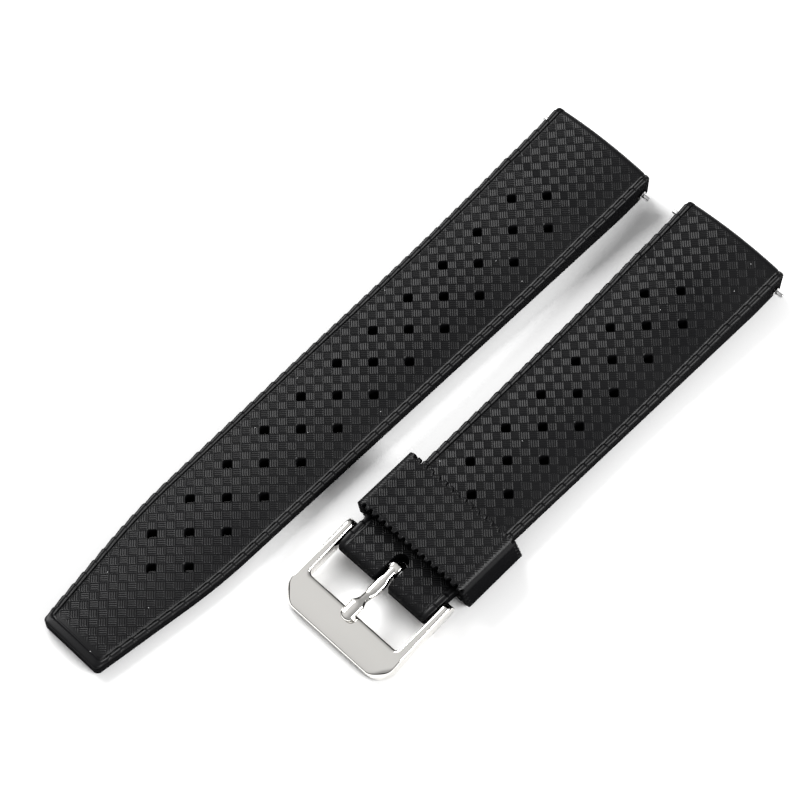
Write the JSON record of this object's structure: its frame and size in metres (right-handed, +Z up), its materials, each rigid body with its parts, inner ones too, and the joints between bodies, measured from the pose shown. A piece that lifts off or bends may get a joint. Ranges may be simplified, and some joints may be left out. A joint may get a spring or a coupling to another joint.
{
  "type": "rubber dive watch strap",
  "caption": "Two-piece perforated rubber dive strap with a woven-look crowned face, rolled edges, a rubber keeper loop, a steel pin buckle and sprung bars.",
  "frame": {"origin": "on the table, below the middle of the box round both halves as they lie side by side", "axes": "+X from the watch end to the free end along both halves, +Y from the long half to the short half, +Z up out of the worn face"},
  "size_m": [0.1205, 0.0499, 0.0077],
  "materials": {
    "strap_rubber": "matt black moulded rubber with a fine basket weave",
    "keeper_rubber": "matt black moulded rubber with a fine basket weave",
    "buckle_steel": "polished stainless steel",
    "bar_steel": "turned stainless steel",
    "spring_steel": "drawn spring wire"
  },
  "bodies": {
    "short_half": {"short_strap": "strap_rubber", "short_lug_bar_barrel": "bar_steel", "short_lug_bar_spring": "spring_steel", "buckle_bar_barrel": "bar_steel", "buckle_bar_spring": "spring_steel"},
    "long_half": {"long_strap": "strap_rubber", "long_lug_bar_barrel": "bar_steel", "long_lug_bar_spring": "spring_steel"},
    "keeper": {"keeper_loop": "keeper_rubber"},
    "frame": {"buckle_frame": "buckle_steel"},
    "tongue": {"buckle_tongue": "buckle_steel"},
    "long_lug_tip_right": {"long_lug_bar_tip_right": "bar_steel"},
    "long_lug_tip_left": {"long_lug_bar_tip_left": "bar_steel"},
    "short_lug_tip_right": {"short_lug_bar_tip_right": "bar_steel"},
    "short_lug_tip_left": {"short_lug_bar_tip_left": "bar_steel"},
    "buckle_tip_right": {"buckle_bar_tip_right": "bar_steel"},
    "buckle_tip_left": {"buckle_bar_tip_left": "bar_steel"}
  },
  "joints": [
    {"name": "halves_apart", "type": "slide", "parent": "short_half", "child": "long_half", "axis": [0, -1, 0], "range_m": [0, 0.03]},
    {"name": "keeper_slide", "type": "slide", "parent": "short_half", "child": "keeper", "axis": [-0.9997, 0, -0.0246], "range_m": [0, 0.03]},
    {"name": "frame_swing", "type": "hinge", "parent": "short_half", "child": "frame", "pos_m": [0.01819, 0.0135, 0.00327], "axis": [0, -1, 0], "range_deg": [-80, 20]},
    {"name": "tongue_lift", "type": "hinge", "parent": "frame", "child": "tongue", "pos_m": [0.01819, 0.0135, 0.00327], "axis": [0, -1, 0], "range_deg": [0, 75]},
    {"name": "long_lug_tip_right_press", "type": "slide", "parent": "long_half", "child": "long_lug_tip_right", "axis": [0, -1, 0], "range_m": [0, 0.0012], "stiffness_N_per_m": 600, "springref_m": -0.001, "deforming": ["long_lug_bar_spring"]},
    {"name": "long_lug_tip_left_press", "type": "slide", "parent": "long_half", "child": "long_lug_tip_left", "axis": [0, 1, 0], "range_m": [0, 0.0012], "stiffness_N_per_m": 600, "springref_m": -0.001, "deforming": ["long_lug_bar_spring"]},
    {"name": "short_lug_tip_right_press", "type": "slide", "parent": "short_half", "child": "short_lug_tip_right", "axis": [0, -1, 0], "range_m": [0, 0.0012], "stiffness_N_per_m": 600, "springref_m": -0.001, "deforming": ["short_lug_bar_spring"]},
    {"name": "short_lug_tip_left_press", "type": "slide", "parent": "short_half", "child": "short_lug_tip_left", "axis": [0, 1, 0], "range_m": [0, 0.0012], "stiffness_N_per_m": 600, "springref_m": -0.001, "deforming": ["short_lug_bar_spring"]},
    {"name": "buckle_tip_right_press", "type": "slide", "parent": "short_half", "child": "buckle_tip_right", "axis": [0, -1, 0], "range_m": [0, 0.00105], "stiffness_N_per_m": 600, "springref_m": -0.001, "deforming": ["buckle_bar_spring"]},
    {"name": "buckle_tip_left_press", "type": "slide", "parent": "short_half", "child": "buckle_tip_left", "axis": [0, 1, 0], "range_m": [0, 0.00105], "stiffness_N_per_m": 600, "springref_m": -0.001, "deforming": ["buckle_bar_spring"]}
  ]
}
